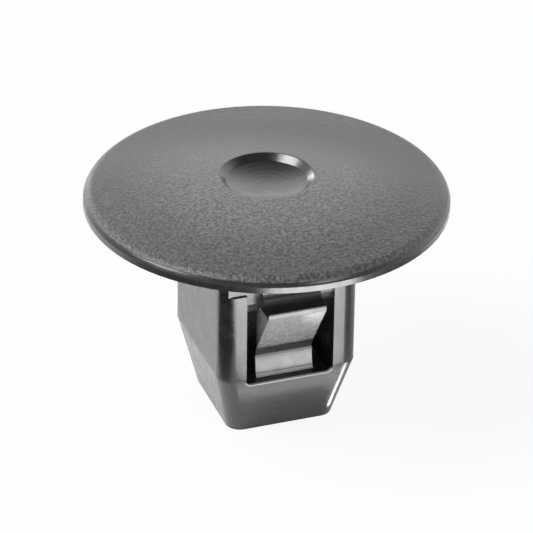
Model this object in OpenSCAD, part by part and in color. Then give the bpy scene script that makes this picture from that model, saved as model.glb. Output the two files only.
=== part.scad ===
// Grommet nut clip: a round domed flange on a square shank, which snaps into a square hole.
// Frame: millimetres, +Z up, the flange at the top. The origin is the centre of the shank's
// flat lower end. The two windows with their snap tabs face -Y and +Y.

/* [Flange] */
// outer diameter of the round flange
flange_d = 20; // [18:0.5:24]
// height of the rim, from the flat seat to the top of its rounded edge
rim_h = 0.82; // [0.8:0.02:1.2]
// radius of the rounded upper edge of the rim
rim_r = 0.76; // [0.3:0.02:0.76]
// height of the plain upright land round the rim, below its rounded edge
land_h = 0.34; // [0.2:0.02:0.4]
// rise of the domed top, from the rounded edge to the middle
dome_h = 0.8; // [0.4:0.05:1.4]

/* [Head recess] */
// diameter of the blind round recess at its lip
recess_d = 5.18; // [3.6:0.1:7]
// depth of the recess at its middle, below the top of the dome
recess_depth = 0.66; // [0.5:0.02:0.8]
// width of the sloped wall of the recess, seen from above
recess_wall = 0.38; // [0.25:0.01:0.6]
// how much the middle of the recess floor lies below its edge
recess_dish = 0.26; // [0.05:0.01:0.3]
// width of the rounded lip round the recess
recess_lip = 0.05; // [0.03:0.01:0.12]
// radius of the concave bend between the wall and the floor of the recess
recess_bend = 0.12; // [0.05:0.01:0.2]

/* [Shank] */
// width of the shank across its plain side faces
shank_x = 7.94; // [7.4:0.1:9]
// width of the shank across its windowed faces
shank_y = 8.34; // [7.8:0.1:9.4]
// radius of the upright corners
corner_r = 0.86; // [0.5:0.02:1]
// length from the seat under the flange to the flat lower end
shank_len = 12.44; // [12:0.1:16]
// height of the tapered lead-in at the lower end
taper_h = 3.85; // [3:0.05:4.4]
// width of the lower end across the plain sides
tip_x = 6.15; // [5.6:0.05:7]
// width of the lower end across the windowed sides
tip_y = 6.34; // [5.6:0.05:7]
// height below the seat of the shallow relief above each window
relief_h = 3.32; // [1:0.02:3.6]
// depth of that relief
relief_depth = 0.12; // [0.05:0.01:0.25]

/* [Windows] */
// width of each window
window_w = 5.02; // [4.4:0.02:5.4]
// height of the window sill above the lower end
sill_z = 3.38; // [2.8:0.02:3.8]
// distance from the seat down to the roof of the slots
slot_drop = 4.76; // [4.4:0.02:4.9]
// height of the rounded front edge of that roof
roof_round_h = 1.6; // [0.8:0.05:3]
// depth of the rounded front edge of that roof
roof_round_t = 0.65; // [0.3:0.05:1]
// radius of the lower window corners
window_r = 0.36; // [0.2:0.02:0.44]
// thickness of the web left between the pockets behind the two windows
web_t = 1.8; // [1.2:0.1:2]

/* [Snap tabs] */
// width of each tab
tab_w = 3.3; // [2.8:0.05:3.5]
// how far the nose of the barb stands out beyond the windowed face
nose_out = 1.05; // [0.5:0.05:1.3]
// distance from the seat down to the middle of the nose
nose_drop = 4.22; // [4.1:0.02:4.5]
// height of the flat land on the nose
nose_land = 0.2; // [0.1:0.02:0.3]
// radius of the rounded edges of that land
nose_r = 0.08; // [0.04:0.01:0.14]
// radius of the concave upper flank of the barb
flank_r = 0.84; // [0.4:0.02:0.9]
// how far the lower end of the tab's foot lies behind the windowed face
foot_in = 0.9; // [0.5:0.02:1]
// height above the sill at which the barb's slope meets the foot
foot_h = 1.46; // [1.2:0.02:2]
// lean of the foot, in degrees from the upright, towards the inside at its upper end
foot_lean = 9; // [1:0.5:12]
// radius of the concave bend between the barb's slope and the foot
bend_r = 1.4; // [0.5:0.05:1.6]
// radius of the small fillet where the foot meets the sill
foot_fillet = 0.16; // [0.08:0.01:0.25]

/* [Screw bore] */
// diameter of the blind bore that opens at the lower end
bore_d = 4.2; // [3.4:0.1:4.4]

/* [Hidden] */
$fn = 96;
seat_z = shank_len;
flange_r = flange_d / 2;
half_x = shank_x / 2;
half_y = shank_y / 2;
slot_top = seat_z - slot_drop;

// the dome is part of a large circle that runs into the rounded rim
apex_z = seat_z + rim_h + dome_h;
land_turn = asin((land_h - rim_h + rim_r) / rim_r);
dome_run = flange_r - rim_r * cos(land_turn);
dome_r = (dome_run * dome_run + dome_h * dome_h) / (2 * dome_h);
dome_cz = apex_z - dome_r;
rim_cz = seat_z + rim_h - rim_r;
rim_tilt = asin(dome_run / dome_r);

// the recess profile, measured from the top of the dome
recess_r = recess_d / 2;
lip_z = dome_cz + sqrt(dome_r * dome_r - recess_r * recess_r);
floor_r = recess_r - recess_wall;
floor_mid = apex_z - recess_depth;
floor_edge = floor_mid + recess_dish;
floor_turn = atan(2 * recess_dish / floor_r);
wall_turn = atan((lip_z - recess_lip * 0.6 - floor_edge) / (recess_wall - recess_lip));
bend_run = recess_bend * tan((wall_turn - floor_turn) / 2);
recess_bend_r = floor_r - bend_run * cos(floor_turn) - recess_bend * sin(floor_turn);
recess_bend_z = floor_edge - bend_run * sin(floor_turn) + recess_bend * cos(floor_turn);

// the snap tab profile in y and z, for the tab that faces -Y
nose_y = -half_y - nose_out + nose_r;
nose_z = seat_z - nose_drop;
land_top = nose_z + nose_land / 2;
land_foot = nose_z - nose_land / 2;
foot_y = -half_y + foot_in;
crease_y = foot_y + foot_h * tan(foot_lean);
crease_z = sill_z + foot_h;
flank_cy = nose_y + nose_land * 0.7;
flank_cz = land_top + nose_r + flank_r;
slope_run = crease_y - nose_y;
slope_drop = land_foot - crease_z;
slope_turn = atan(slope_run / slope_drop)
    + asin(nose_r / sqrt(slope_run * slope_run + slope_drop * slope_drop));
bend_t = bend_r * tan((slope_turn + foot_lean) / 2);
bend_cy = crease_y - bend_t * sin(foot_lean) - bend_r * cos(foot_lean);
bend_cz = crease_z - bend_t * cos(foot_lean) + bend_r * sin(foot_lean);

// how the sides of the lead-in lean, per millimetre of height
lean_x = (shank_x - tip_x) / 2 / taper_h;
lean_y = (shank_y - tip_y) / 2 / taper_h;
corner_x = corner_r * sqrt(1 + lean_x * lean_x);
corner_y = corner_r * sqrt(1 + lean_y * lean_y);

// points along an arc of a circle, from angle a0 to angle a1
function arc(cx, cy, r, a0, a1, n) =
    [for (i = [0:n]) [cx + r * cos(a0 + (a1 - a0) * i / n), cy + r * sin(a0 + (a1 - a0) * i / n)]];

// height of the dome's surface at a given radius
function dome_at(r) = dome_cz + sqrt(dome_r * dome_r - r * r);

// a rectangle with rounded corners, centred on the axis
module rounded_rect(w, d, r) {
    square([w - 2 * r, d], center = true);
    square([w, d - 2 * r], center = true);
    for (sx = [-1, 1]) {
        for (sy = [-1, 1]) {
            translate([sx * (w / 2 - r), sy * (d / 2 - r)]) circle(r = r, $fn = 48);
        }
    }
}

// the domed flange with its upright land, rounded rim and flat seat
module flange() {
    rotate_extrude() polygon(concat(
        [[0, seat_z]],
        [[flange_r, seat_z]],
        arc(dome_run, rim_cz, rim_r, land_turn, 90 - rim_tilt, 8),
        [for (i = [9:-1:0]) [dome_run * i / 10, dome_at(dome_run * i / 10)]]
    ));
}

// the space of the recess: rounded lip, sloped wall, concave bend, dished floor
module recess_space() {
    flat_r = floor_r - bend_run;
    rotate_extrude() polygon(concat(
        [[0, floor_mid]],
        [for (i = [1:6]) [flat_r * i / 6, floor_mid + recess_dish * pow(flat_r * i / 6 / floor_r, 2)]],
        arc(recess_bend_r, recess_bend_z, recess_bend, floor_turn - 90 + 4, wall_turn - 90, 4),
        [[recess_r - recess_lip, lip_z - recess_lip * 0.6]],
        [[recess_r - recess_lip * 0.4, lip_z - recess_lip * 0.16]],
        [[recess_r, lip_z]],
        [[recess_r, apex_z + 1]],
        [[0, apex_z + 1]]
    ));
}

// a side profile in x and z for the lead-in, made deep enough to be trimmed by the other one
module lean_prism(top_half, lean) {
    rotate([90, 0, 0]) linear_extrude(height = 2 * shank_y, center = true) polygon([
        [-(top_half - lean * taper_h), 0],
        [top_half - lean * taper_h, 0],
        [top_half, taper_h],
        [-top_half, taper_h]
    ]);
}

// one upright corner of the lead-in: a leaning cylinder trimmed flat at both ends
module lean_corner() {
    tilt_len = taper_h * sqrt(1 + lean_x * lean_x + lean_y * lean_y);
    intersection() {
        translate([half_x - corner_x - lean_x * taper_h, half_y - corner_y - lean_y * taper_h, 0])
            rotate([0, 0, atan2(lean_y, lean_x)])
            rotate([0, atan(sqrt(lean_x * lean_x + lean_y * lean_y)), 0])
            translate([0, 0, -1]) cylinder(r = corner_r, h = tilt_len + 2, $fn = 48);
        translate([0, 0, taper_h / 2]) cube([2 * shank_x, 2 * shank_y, taper_h], center = true);
    }
}

// the tapered lead-in at the lower end
module lead_in() {
    intersection() {
        lean_prism(half_x, lean_x);
        rotate([0, 0, 90]) lean_prism(half_y - corner_y, lean_y);
    }
    intersection() {
        lean_prism(half_x - corner_x, lean_x);
        rotate([0, 0, 90]) lean_prism(half_y, lean_y);
    }
    for (mx = [0, 1]) {
        for (my = [0, 1]) {
            mirror([mx, 0, 0]) mirror([0, my, 0]) lean_corner();
        }
    }
}

// the shallow reliefs below the seat, on both sides of a snap tab
module relief_space() {
    wide = half_x - tab_w / 2 + 1;
    for (sx = [-1, 1]) {
        translate([sx * (tab_w / 2 + wide / 2), -half_y + relief_depth - 0.5, seat_z - relief_h / 2])
            cube([wide, 1, relief_h], center = true);
    }
}

// the outline of a window seen from the front, with rounded lower corners
module window_outline() {
    translate([-window_w / 2, sill_z + window_r]) square([window_w, seat_z - sill_z - window_r]);
    translate([-window_w / 2 + window_r, sill_z]) square([window_w - 2 * window_r, 2 * window_r]);
    for (sx = [-1, 1]) {
        translate([sx * (window_w / 2 - window_r), sill_z + window_r]) circle(r = window_r, $fn = 48);
    }
}

// the pocket behind one window, from the windowed face to the web
module window_space() {
    intersection() {
        translate([0, -web_t / 2, 0]) rotate([90, 0, 0]) linear_extrude(height = shank_y)
            window_outline();
        rotate([90, 0, 90]) linear_extrude(height = 2 * window_w, center = true) polygon(concat(
            [[-shank_y, sill_z - 1]],
            [[0, sill_z - 1]],
            [[0, slot_top]],
            [for (i = [6:-1:0]) [-half_y + relief_depth + roof_round_t * (1 - cos(15 * i)),
                slot_top + roof_round_h * (1 - sin(15 * i))]],
            [[-shank_y, slot_top + roof_round_h]]
        ));
    }
}

// the profile of one snap tab, from its root above the slots to the sill
module tab_profile() {
    polygon(concat(
        [[-half_y * 0.35, sill_z - 0.3]],
        [[-half_y * 0.35, seat_z - 0.4]],
        [[-half_y + 0.02, seat_z - 0.4]],
        [[-half_y + 0.02, flank_cz + 0.5]],
        arc(flank_cy, flank_cz, flank_r, 0, -84, 8),
        arc(nose_y, land_top, nose_r, 80, 180, 4),
        arc(nose_y, land_foot, nose_r, 180, 180 + slope_turn, 3),
        arc(bend_cy, bend_cz, bend_r, slope_turn, -foot_lean, 6),
        [[foot_y + foot_fillet * tan(foot_lean), sill_z + foot_fillet]],
        [[foot_y - foot_fillet * 0.3, sill_z + foot_fillet * 0.3]],
        [[foot_y - foot_fillet, sill_z]],
        [[foot_y - foot_fillet, sill_z - 0.3]]
    ));
}

// one snap tab, joined to the shank above and below
module snap_tab() {
    rotate([90, 0, 90]) linear_extrude(height = tab_w, center = true) tab_profile();
}

// the square shank with its windows, tabs, reliefs, lead-in and bore
module shank() {
    difference() {
        union() {
            difference() {
                union() {
                    translate([0, 0, taper_h]) linear_extrude(height = seat_z - taper_h + 0.3)
                        rounded_rect(shank_x, shank_y, corner_r);
                    lead_in();
                }
                for (a = [0, 180]) {
                    rotate([0, 0, a]) window_space();
                    rotate([0, 0, a]) relief_space();
                }
            }
            for (a = [0, 180]) {
                rotate([0, 0, a]) snap_tab();
            }
        }
        translate([0, 0, -1]) cylinder(d = bore_d, h = seat_z + 1);
    }
}

// the whole moulding
module clip_body() {
    color([0.05, 0.05, 0.055]) difference() {
        union() {
            flange();
            shank();
        }
        recess_space();
    }
}

clip_body();
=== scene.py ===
import math

import bpy
from mathutils import Matrix, Vector

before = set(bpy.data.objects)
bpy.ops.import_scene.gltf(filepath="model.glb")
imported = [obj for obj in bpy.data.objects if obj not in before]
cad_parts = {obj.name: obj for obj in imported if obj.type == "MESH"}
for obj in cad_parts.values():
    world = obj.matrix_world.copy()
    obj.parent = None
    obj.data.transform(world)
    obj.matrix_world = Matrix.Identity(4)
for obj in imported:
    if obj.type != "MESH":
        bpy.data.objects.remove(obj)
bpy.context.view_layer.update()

MM = 0.001
SEAT_Z = 12.44 * MM
RIM_TOP_Z = 13.26 * MM
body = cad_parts["clip_body"]

# Camera at the photograph's angle: angles in radians, the aim taken from the rim's top, and the
# focal length in pixels of a photograph of that width
AZIMUTH = -0.3452149
ELEVATION = 0.5063306
ROLL = 0.01496
DISTANCE = 200.0 * MM
AIM_Z = RIM_TOP_Z - 5.00164 * MM
AIM_SIDE = 0.04681 * MM
FOCAL_PX = 3679.2366
PHOTO_PX = 533
SENSOR_WIDTH = 36
CLIP_START = 0.01
CLIP_END = 20

# Colours of the moulding, with the dark and light end of each mottled one; some carry painted
# light or shade, as said at each
DEEP_BLACK = ((0.014, 0.014, 0.0155, 1), (0.022, 0.022, 0.024, 1))
PALE_GRAIN = ((0.06, 0.06, 0.0605, 1), (0.29, 0.29, 0.288, 1))
DARK_GRAIN = ((0.03, 0.03, 0.0305, 1), (0.15, 0.15, 0.149, 1))
# The far side of the top is darkened towards this colour: painted shade
FAR_PAINTED_SHADE = (0.03, 0.03, 0.0305, 1)
# The tab slopes' colour, far lighter than the black moulding: painted light on a rougher finish
FROSTED_PAINTED_LIGHT = ((0.28, 0.28, 0.286, 1), (0.56, 0.56, 0.57, 1))
# The pale colour of the painted highlight lines along the window sills and the tab feet
PAINTED_HIGHLIGHT_LINE = (0.85, 0.85, 0.86, 1)

# The grain of the top: where it begins and over what distance, and its size
GRAIN_FROM_R = 2.62 * MM
GRAIN_FADE_R = 0.06 * MM
GRAIN_FROM_Z = SEAT_Z + 0.57 * MM
GRAIN_FADE_Z = 0.04 * MM
GRAIN_SIZE = 0.17 * MM
GRAIN_NOISE_ROUGH = 0.6
# It is deepest and most speckled at the near left, found by y plus this share of x
SIDE_OF_X = 0.5
SIDE_NEAR = -7 * MM
SIDE_FAR = 5 * MM
GRAIN_DEPTH_NEAR = 0.08 * MM
GRAIN_DEPTH_FAR = 0.012 * MM
SPECK_FAR = 0.3
# It is painted lighter round the recess and darker towards the rim, and painted shade darkens its
# far side
PAINTED_LIGHT_TO_R = 3 * MM
PAINTED_SHADE_FROM_R = 9 * MM
FAR_FROM = 1 * MM
FAR_FULL = 8 * MM
FAR_SHARE = 0.95

# The broad mottle of the colour, the detail that it shares with the grain, and the slight flow in
# the smooth faces
MOTTLE_SIZE = 2.4 * MM
FINE_DETAIL = 3.0
FLOW_SIZE = 0.9 * MM
FLOW_DEPTH = 0.001 * MM

# The strip of a snap tab, by distance from the middle planes
TAB_WITHIN_X = (1.66 * MM, 1.72 * MM)
TAB_BEYOND_Y = (3.2 * MM, 3.4 * MM)
# Heights in mm on a tab where each band starts to rise, is full, starts to fall and is gone
SLOPE_BAND = (5.0, 5.25, 8.06, 8.12)
BEND_BAND = (4.45, 4.7, 5.05, 5.3)
# The foot line band carries a painted highlight line along the bottom of each tab's foot
FOOT_HIGHLIGHT_BAND = (3.385, 3.395, 3.53, 3.57)
NOSE_BAND = (8.04, 8.08, 8.38, 8.42)

# A painted highlight line round the lower edge of each window, which has rounded corners
SILL_Z = 3.38 * MM
WINDOW_HALF = 2.51 * MM
CORNER_R = 0.36 * MM
LINE_WIDTH = 0.075 * MM
LINE_FADE = 0.02 * MM
LINE_BEYOND_Y = (3.85 * MM, 3.95 * MM)
LINE_BELOW_Z = (SILL_Z + 0.1 * MM, SILL_Z + 0.3 * MM)

# Roughness of the smooth faces and of the grain, and what the slope and the bend of a tab add
SMOOTH_ROUGH = (0.24, 0.34)
GRAIN_ROUGH = (0.3, 0.42)
SLOPE_ROUGH = 0.25
BEND_ROUGH = 0.35
# The middle of the noises, and the ranges stretched over a colour or a roughness
NOISE_MIDDLE = 0.5
NOISE_RANGE = (0.3, 0.7)
SPECK_RANGE = (-0.2, 0.25)

# Rounding of the edges in the shading: all of them, the sharper nose, and the lead-in's crease
EDGE_R = 0.045 * MM
NOSE_EDGE_R = 0.005 * MM
CREASE_R = 0.6 * MM
CREASE_Z = 3.85 * MM
CREASE_WITHIN = (0.5 * MM, 0.8 * MM)
CREASE_BEYOND_X = (2.6 * MM, 3.1 * MM)
BEVEL_SAMPLES = 8

PLASTIC_IOR = 1.7
COAT_WEIGHT = 0.6
COAT_ROUGH = 0.2
COAT_IOR = 1.6

# The floor lies just below the part, and shows white in these shares of its rays
FLOOR_HALF = 1.5
FLOOR_Z = -0.01 * MM
FLOOR_COLOUR = (0.9, 0.9, 0.9, 1)
WHITE_TO_CAMERA = 0.92
WHITE_TO_GLOSSY = 0.3

# The world's light, which rises towards the rear and falls to nearly nothing overhead
WORLD_FRONT = 0.25
WORLD_BACK = 1.25
WORLD_TOP = 0.03
REAR_X = 0.55
REAR_Y = 0.83
REAR_RANGE = (-0.3, 0.9)
TOP_RANGE = (0.45, 0.8)

# Lamps: name, azimuth from the front towards +X and elevation in degrees, then distance, width and
# height in metres, and radiance
LAMPS = (
    ("softbox", -97, 50, 0.6, 0.3, 0.4, 9.6),
    ("rear_lamp", -167, 7, 0.6, 0.16, 0.1, 6.0),
    ("front_lamp", 21.5, 36, 0.6, 0.14, 0.06, 12.0),
)

# Cards seen in reflections alone: name, strength, height above the ground and corners in mm
CARDS = (
    ("bright_card", 4.0, 0.1, ((-0.5, -9), (-1, -15), (-7.5, -25.5), (12.9, -25.5), (5.4, -9))),
    ("far_card", 8.0, 0.1,
     ((-7.5, -25.5), (-12, -34), (-12.5, -38), (20, -38), (17.5, -30), (14.5, -25.5))),
    ("right_card", 0.3, 0.1,
     ((6.6, -10.5), (13.3, -25.4), (34, -30), (34, -6), (17, -7), (11, -6.5))),
    ("nose_card", 9.0, 0.15, ((2.6, -17), (2.6, -21.5), (7.4, -21.5), (7.4, -17))),
    ("low_card", 2.0, 0.1, ((-2.0, -5.0), (-2.2, -6.3), (4.3, -6.3), (3.8, -5.0))),
    ("crease_card", 0.0, 0.1, ((-2.2, -6.3), (-2.2, -8.9), (5.4, -8.9), (4.3, -6.3))),
    ("edge_card", 9.0, 0.15,
     ((2.8, -3.5), (4.1, -4.65), (5.4, -5.9), (6.5, -4.8), (4.75, -4.0), (3.1, -3.3))),
    ("dark_card", 0.05, 0.1,
     ((-5, -11), (-1.5, -15), (-12.5, -30), (-18, -38), (-50, -20), (-26, 8), (-12, 3),
      (-10, -3))),
)


def direction(azimuth, elevation):
    """The unit vector at an azimuth from the front towards +X and an elevation, in radians."""
    level = math.cos(elevation)
    return Vector((math.sin(azimuth) * level, -math.cos(azimuth) * level, math.sin(elevation)))


def add_object(name, data):
    thing = bpy.data.objects.new(name, data)
    bpy.context.scene.collection.objects.link(thing)
    return thing


def place_camera():
    side = Vector((math.cos(AZIMUTH), math.sin(AZIMUTH), 0))
    eye = Vector((0, 0, RIM_TOP_Z)) + direction(AZIMUTH, ELEVATION) * DISTANCE
    aim = Vector((0, 0, AIM_Z)) + side * AIM_SIDE
    ahead = (aim - eye).normalized()
    right = ahead.cross(Vector((0, 0, 1))).normalized()
    up = right.cross(ahead)
    c, s = math.cos(ROLL), math.sin(ROLL)
    right, up = right * c + up * s, up * c - right * s
    turn = Matrix((right, up, -ahead)).transposed()
    data = bpy.data.cameras.new("camera")
    data.sensor_width = SENSOR_WIDTH
    data.sensor_fit = "HORIZONTAL"
    data.lens = FOCAL_PX / PHOTO_PX * SENSOR_WIDTH
    data.clip_start = CLIP_START
    data.clip_end = CLIP_END
    cam = add_object("camera", data)
    cam.matrix_world = Matrix.Translation(eye) @ turn.to_4x4()
    bpy.context.scene.camera = cam


class Nodes:
    """Short calls for the nodes of one material or world."""

    def __init__(self, owner):
        owner.use_nodes = True
        self.tree = owner.node_tree

    def add(self, kind, **settings):
        node = self.tree.nodes.new("ShaderNode" + kind)
        for name, value in settings.items():
            setattr(node, name, value)
        return node

    def put(self, socket, value):
        if isinstance(value, bpy.types.NodeSocket):
            self.tree.links.new(value, socket)
        else:
            socket.default_value = value

    def math(self, operation, a, b=0.0):
        node = self.add("Math", operation=operation)
        self.put(node.inputs[0], a)
        self.put(node.inputs[1], b)
        return node.outputs[0]

    def times(self, first, *others):
        for other in others:
            first = self.math("MULTIPLY", first, other)
        return first

    def plus(self, a, b):
        return self.math("ADD", a, b)

    def minus(self, a, b):
        return self.math("SUBTRACT", a, b)

    def split(self, vector):
        node = self.add("SeparateXYZ")
        self.put(node.inputs[0], vector)
        return node.outputs

    def ramp(self, value, from_lo, from_hi, to_lo=0.0, to_hi=1.0):
        node = self.add("MapRange", interpolation_type="SMOOTHSTEP")
        self.put(node.inputs["Value"], value)
        self.put(node.inputs["From Min"], from_lo)
        self.put(node.inputs["From Max"], from_hi)
        self.put(node.inputs["To Min"], to_lo)
        self.put(node.inputs["To Max"], to_hi)
        return node.outputs["Result"]

    def fall(self, value, from_lo, from_hi):
        return self.ramp(value, from_lo, from_hi, 1.0, 0.0)

    def band(self, value, limits_mm):
        rise, full, drop, gone = (limit * MM for limit in limits_mm)
        return self.times(self.ramp(value, rise, full), self.fall(value, drop, gone))

    def noise(self, point, size, detail=2.0, roughness=0.5):
        node = self.add("TexNoise")
        self.put(node.inputs["Vector"], point)
        node.inputs["Scale"].default_value = 1 / size
        node.inputs["Detail"].default_value = detail
        node.inputs["Roughness"].default_value = roughness
        return node.outputs["Fac"]

    def mix(self, fac, a, b):
        node = self.add("Mix", data_type="RGBA")
        self.put(node.inputs[0], fac)
        self.put(node.inputs[6], a)
        self.put(node.inputs[7], b)
        return node.outputs[2]

    def mix_shaders(self, fac, a, b):
        node = self.add("MixShader")
        self.put(node.inputs[0], fac)
        self.put(node.inputs[1], a)
        self.put(node.inputs[2], b)
        return node.outputs[0]


def new_material(name):
    mat = bpy.data.materials.new(name)
    n = Nodes(mat)
    n.tree.nodes.clear()
    return mat, n


class Place:
    """A point's coordinates in the moulding, its noises and the masks of the regions."""

    def __init__(self, n):
        point = n.add("TexCoord").outputs["Object"]
        x, y, self.z = n.split(point)
        self.radius = n.math("SQRT", n.plus(n.times(x, x), n.times(y, y)))
        self.side = n.plus(n.times(x, SIDE_OF_X), y)
        self.off_x = n.math("ABSOLUTE", x)
        self.off_y = n.math("ABSOLUTE", y)

        self.grain = n.noise(point, GRAIN_SIZE, FINE_DETAIL, GRAIN_NOISE_ROUGH)
        self.mottle = n.noise(point, MOTTLE_SIZE, FINE_DETAIL)
        self.flow = n.noise(point, FLOW_SIZE)

        self.grainy = n.times(
            n.ramp(self.radius, GRAIN_FROM_R - GRAIN_FADE_R, GRAIN_FROM_R + GRAIN_FADE_R),
            n.ramp(self.z, GRAIN_FROM_Z - GRAIN_FADE_Z, GRAIN_FROM_Z + GRAIN_FADE_Z))
        strip = n.times(n.ramp(self.off_y, *TAB_BEYOND_Y), n.fall(self.off_x, *TAB_WITHIN_X))
        self.on_slope = n.times(strip, n.band(self.z, SLOPE_BAND))
        self.in_bend = n.times(strip, n.band(self.z, BEND_BAND))
        self.foot_highlight = n.times(strip, n.band(self.z, FOOT_HIGHLIGHT_BAND))
        self.at_nose = n.times(strip, n.band(self.z, NOSE_BAND))


def window_highlight_line(n, at):
    """The mask of the painted highlight line just outside the lower edge of a window."""
    past = n.math("MAXIMUM", n.minus(at.off_x, WINDOW_HALF - CORNER_R), 0.0)
    below = n.math("MAXIMUM", n.minus(SILL_Z + CORNER_R, at.z), 0.0)
    from_corner = n.math("SQRT", n.plus(n.times(past, past), n.times(below, below)))
    off_edge = n.minus(from_corner, CORNER_R)
    in_line = n.times(
        n.fall(off_edge, LINE_WIDTH - LINE_FADE, LINE_WIDTH + LINE_FADE),
        n.ramp(off_edge, -LINE_FADE, 0.0))
    in_face = n.times(n.ramp(at.off_y, *LINE_BEYOND_Y), n.fall(at.z, *LINE_BELOW_Z))
    return n.times(in_line, in_face)


def plastic_colour(n, at):
    speck = n.times(
        n.minus(at.grain, NOISE_MIDDLE), n.ramp(at.side, SIDE_NEAR, SIDE_FAR, 1.0, SPECK_FAR))
    share = n.ramp(speck, *SPECK_RANGE)
    pale = n.mix(share, *PALE_GRAIN)
    dark = n.mix(share, *DARK_GRAIN)
    # Painted light and shade on the top: lighter round the recess, darker towards the rim and at
    # the far side
    top = n.mix(n.ramp(at.radius, PAINTED_LIGHT_TO_R, PAINTED_SHADE_FROM_R), pale, dark)
    top = n.mix(n.ramp(at.side, FAR_FROM, FAR_FULL, 0.0, FAR_SHARE), top, FAR_PAINTED_SHADE)
    smooth = n.mix(at.mottle, *DEEP_BLACK)
    # The tab slopes get the pale colour: painted light, with a rougher finish from the roughness
    frosted_painted_light = n.mix(n.ramp(at.grain, *NOISE_RANGE), *FROSTED_PAINTED_LIGHT)
    colour = n.mix(at.on_slope, n.mix(at.grainy, smooth, top), frosted_painted_light)
    # Painted highlight lines along the lower edges of the windows and the feet of the tabs
    return n.mix(n.math("MAXIMUM", window_highlight_line(n, at), at.foot_highlight), colour, PAINTED_HIGHLIGHT_LINE)


def plastic_roughness(n, at):
    dull = n.plus(n.times(at.on_slope, SLOPE_ROUGH), n.times(at.in_bend, BEND_ROUGH))
    smooth = n.plus(n.ramp(at.flow, *NOISE_RANGE, *SMOOTH_ROUGH), dull)
    grainy = n.ramp(at.grain, *NOISE_RANGE, *GRAIN_ROUGH)
    return n.plus(n.times(grainy, at.grainy), n.times(smooth, n.minus(1.0, at.grainy)))


def plastic_normal(n, at):
    """Softly rounded edges, with the height of the grain and the flow on them."""
    near_crease = n.fall(n.math("ABSOLUTE", n.minus(at.z, CREASE_Z)), *CREASE_WITHIN)
    crease_r = n.times(near_crease, n.ramp(at.off_x, *CREASE_BEYOND_X), CREASE_R)
    edge_r = n.minus(EDGE_R, n.times(at.at_nose, EDGE_R - NOSE_EDGE_R))
    soft_edge = n.add("Bevel", samples=BEVEL_SAMPLES)
    n.put(soft_edge.inputs["Radius"], n.math("MAXIMUM", edge_r, crease_r))

    depth = n.ramp(at.side, SIDE_NEAR, SIDE_FAR, GRAIN_DEPTH_NEAR, GRAIN_DEPTH_FAR)
    height = n.plus(n.times(at.grain, depth, at.grainy), n.times(at.flow, FLOW_DEPTH))
    bump = n.add("Bump")
    bump.inputs["Strength"].default_value = 1.0
    bump.inputs["Distance"].default_value = 1.0
    n.put(bump.inputs["Normal"], soft_edge.outputs["Normal"])
    n.put(bump.inputs["Height"], height)
    return bump.outputs["Normal"]


def plastic():
    mat, n = new_material("black_moulded_plastic")
    at = Place(n)
    bsdf = n.add("BsdfPrincipled")
    n.put(bsdf.inputs["Base Color"], plastic_colour(n, at))
    n.put(bsdf.inputs["Roughness"], plastic_roughness(n, at))
    n.put(bsdf.inputs["Normal"], plastic_normal(n, at))
    bsdf.inputs["IOR"].default_value = PLASTIC_IOR
    uncoated = n.math("MAXIMUM", at.grainy, at.in_bend)
    n.put(bsdf.inputs["Coat Weight"], n.minus(COAT_WEIGHT, n.times(uncoated, COAT_WEIGHT)))
    bsdf.inputs["Coat Roughness"].default_value = COAT_ROUGH
    bsdf.inputs["Coat IOR"].default_value = COAT_IOR
    n.put(n.add("OutputMaterial").inputs["Surface"], bsdf.outputs["BSDF"])
    return mat


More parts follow.
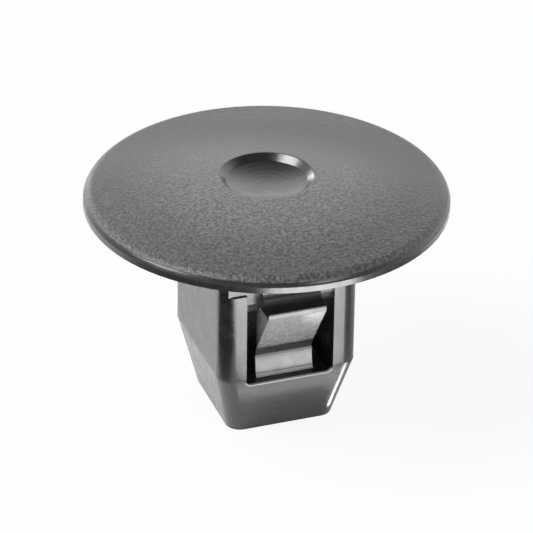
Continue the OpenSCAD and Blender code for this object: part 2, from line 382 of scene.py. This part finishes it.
def pale_floor():
    mesh = bpy.data.meshes.new("floor")
    signs = ((-1, -1), (1, -1), (1, 1), (-1, 1))
    corners = [(sx * FLOOR_HALF, sy * FLOOR_HALF, FLOOR_Z) for sx, sy in signs]
    mesh.from_pydata(corners, [], [(0, 1, 2, 3)])
    floor = add_object("floor", mesh)
    mat, n = new_material("pale_floor")
    lit = n.add("BsdfDiffuse")
    lit.inputs["Color"].default_value = FLOOR_COLOUR
    white = n.add("Emission")
    white.inputs["Strength"].default_value = 1.0
    ray = n.add("LightPath").outputs
    share = n.plus(
        n.times(ray["Is Camera Ray"], WHITE_TO_CAMERA),
        n.times(ray["Is Glossy Ray"], WHITE_TO_GLOSSY))
    above = n.mix_shaders(share, lit.outputs[0], white.outputs[0])
    # Seen from below, the floor lets the underside show
    from_below = n.add("NewGeometry").outputs["Backfacing"]
    both = n.mix_shaders(from_below, above, n.add("BsdfTransparent").outputs[0])
    n.put(n.add("OutputMaterial").inputs["Surface"], both)
    mesh.materials.append(mat)


def card(name, strength, lift, corners):
    """A flat card just above the floor, seen in reflections alone."""
    mesh = bpy.data.meshes.new(name)
    points = [(cx * MM, cy * MM, lift * MM) for cx, cy in corners]
    mesh.from_pydata(points, [], [tuple(range(len(points)))])
    piece = add_object(name, mesh)
    mat, n = new_material(name)
    glow = n.add("Emission")
    glow.inputs["Strength"].default_value = strength
    n.put(n.add("OutputMaterial").inputs["Surface"], glow.outputs[0])
    mesh.materials.append(mat)
    piece.visible_camera = False
    piece.visible_diffuse = False
    piece.visible_shadow = False
    piece.visible_transmission = False


def light_world():
    """A world that is white to the camera, and lights the object from the rear."""
    world = bpy.data.worlds.new("studio")
    n = Nodes(world)
    back = world.node_tree.nodes["Background"]
    seen = n.add("LightPath").outputs["Is Camera Ray"]
    x, y, z = n.split(n.add("TexCoord").outputs["Generated"])
    rear = n.plus(n.times(x, REAR_X), n.times(y, REAR_Y))
    level = n.times(
        n.ramp(rear, *REAR_RANGE, WORLD_FRONT, WORLD_BACK),
        n.ramp(z, *TOP_RANGE, 1.0, WORLD_TOP))
    back.inputs["Color"].default_value = (1, 1, 1, 1)
    n.put(back.inputs["Strength"], n.plus(n.times(level, n.minus(1.0, seen)), seen))
    bpy.context.scene.world = world


def place_lamps():
    for name, azimuth, elevation, distance, width, height, radiance in LAMPS:
        data = bpy.data.lights.new(name, "AREA")
        data.shape = "RECTANGLE"
        data.size = width
        data.size_y = height
        data.energy = radiance * width * height * math.pi
        lamp = add_object(name, data)
        outward = direction(math.radians(azimuth), math.radians(elevation))
        lamp.location = Vector((0, 0, SEAT_Z)) + outward * distance
        lamp.rotation_mode = "QUATERNION"
        lamp.rotation_quaternion = outward.to_track_quat("Z", "Y")
        lamp.visible_camera = False


place_camera()
body.data.materials.clear()
body.data.materials.append(plastic())
pale_floor()
for row in CARDS:
    card(*row)
light_world()
place_lamps()

bpy.context.scene.view_settings.view_transform = "Standard"
